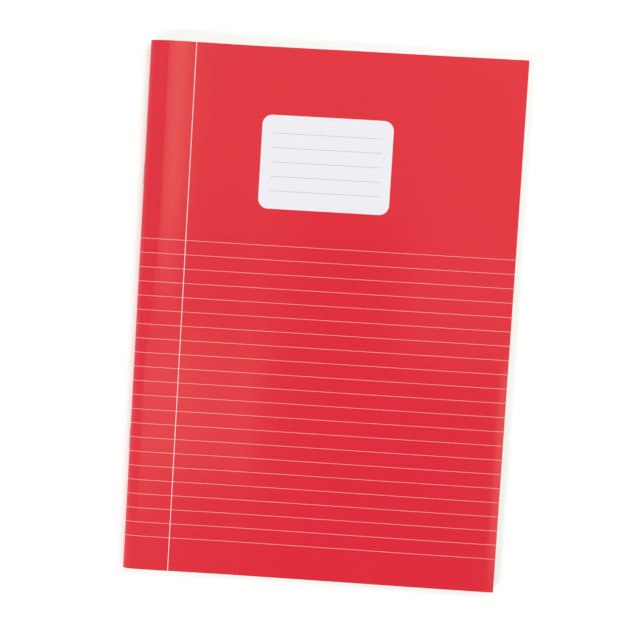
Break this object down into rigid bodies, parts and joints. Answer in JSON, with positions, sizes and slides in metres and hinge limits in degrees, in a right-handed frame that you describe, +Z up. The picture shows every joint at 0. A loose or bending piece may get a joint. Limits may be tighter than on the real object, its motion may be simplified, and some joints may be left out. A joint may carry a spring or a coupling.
{
  "type": "composition notebook",
  "caption": "Thin soft-cover notebook of folded ruled sheets, wire-stitched through the fold of a glossy red card cover with a blank name panel.",
  "frame": {"origin": "middle of the closed book's footprint, on the table", "axes": "+X from the fold to the fore-edge, +Y from the tail to the head, +Z up out of the front cover"},
  "size_m": [0.2106, 0.297, 0.0063],
  "materials": {
    "page_paper": "uncoated wood-free writing paper",
    "laminated_card": "red printed card under a glossy film",
    "stitching_wire": "galvanised round stitching wire",
    "white_print": "unprinted white of the card under the glossy film",
    "grey_print": "thin grey print under the glossy film"
  },
  "bodies": {
    "book_block": {"page_block": "page_paper", "cover_spine": "laminated_card", "head_staple": "stitching_wire", "tail_staple": "stitching_wire", "spine_rules": "white_print"},
    "front_board": {"front_cover": "laminated_card", "cover_rules": "white_print", "margin_line": "white_print", "name_panel": "white_print", "name_panel_lines": "grey_print"},
    "back_board": {"back_cover": "laminated_card"}
  },
  "joints": [
    {"name": "front_cover_hinge", "type": "hinge", "parent": "book_block", "child": "front_board", "pos_m": [-0.10222, 0, 0.00545], "axis": [0, -1, 0], "range_deg": [0, 180]},
    {"name": "back_cover_hinge", "type": "hinge", "parent": "book_block", "child": "back_board", "pos_m": [-0.10222, 0, 0.00059], "axis": [0, 1, 0], "range_deg": [0, 180]}
  ]
}
